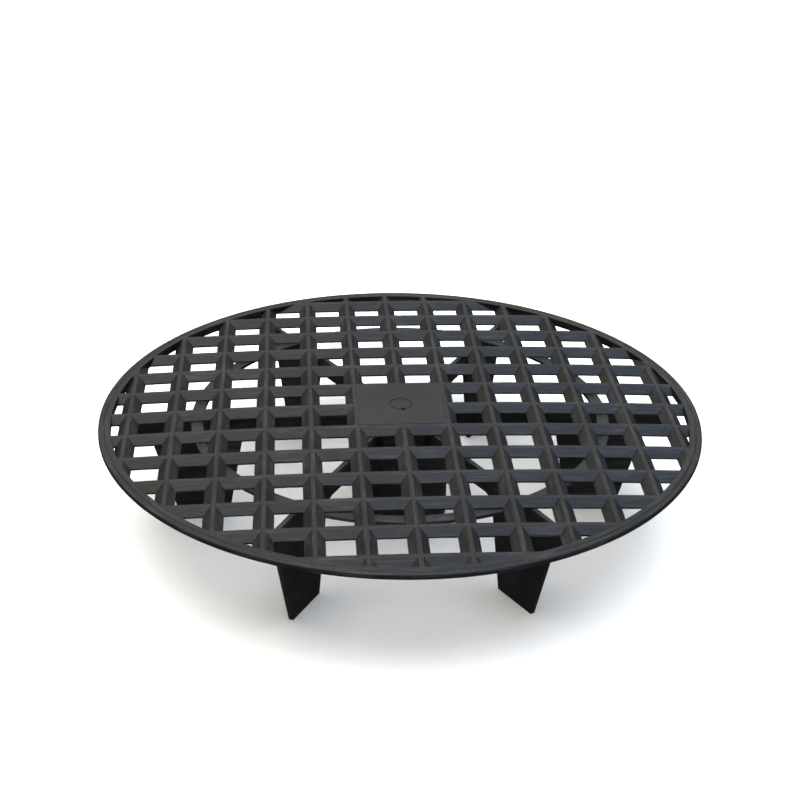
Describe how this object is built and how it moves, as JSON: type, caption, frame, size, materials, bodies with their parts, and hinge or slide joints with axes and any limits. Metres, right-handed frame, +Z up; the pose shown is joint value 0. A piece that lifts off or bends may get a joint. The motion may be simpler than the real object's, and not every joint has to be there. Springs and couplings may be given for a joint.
{
  "type": "grid insert",
  "caption": "Round moulded grid insert: a lipped ring with a slightly crowned square grid of tapered ribs, a middle plate and tube, standing on radial fins that end in flat feet.",
  "frame": {"origin": "on the floor, under the middle of the grid", "axes": "+Z up, rows of ribs along X, columns of ribs along Y"},
  "size_m": [0.26, 0.26, 0.053],
  "materials": {
    "black_polypropylene": "satin, as moulded"
  },
  "bodies": {
    "root": {"centre_plate": "black_polypropylene", "centre_tube": "black_polypropylene", "column_rib_left_1": "black_polypropylene", "column_rib_left_2": "black_polypropylene", "column_rib_left_3": "black_polypropylene", "column_rib_left_4": "black_polypropylene", "column_rib_left_5": "black_polypropylene", "column_rib_left_6": "black_polypropylene", "column_rib_middle_back": "black_polypropylene", "column_rib_middle_front": "black_polypropylene", "column_rib_right_1": "black_polypropylene", "column_rib_right_2": "black_polypropylene", "column_rib_right_3": "black_polypropylene", "column_rib_right_4": "black_polypropylene", "column_rib_right_5": "black_polypropylene", "column_rib_right_6": "black_polypropylene", "fin_1": "black_polypropylene", "fin_2": "black_polypropylene", "fin_3": "black_polypropylene", "fin_4": "black_polypropylene", "fin_5": "black_polypropylene", "fin_6": "black_polypropylene", "hoop": "black_polypropylene", "rim": "black_polypropylene", "row_rib_back_1": "black_polypropylene", "row_rib_back_2": "black_polypropylene", "row_rib_back_3": "black_polypropylene", "row_rib_back_4": "black_polypropylene", "row_rib_back_5": "black_polypropylene", "row_rib_back_6": "black_polypropylene", "row_rib_front_1": "black_polypropylene", "row_rib_front_2": "black_polypropylene", "row_rib_front_3": "black_polypropylene", "row_rib_front_4": "black_polypropylene", "row_rib_front_5": "black_polypropylene", "row_rib_front_6": "black_polypropylene", "row_rib_middle_left": "black_polypropylene", "row_rib_middle_right": "black_polypropylene"}
  },
  "joints": []
}
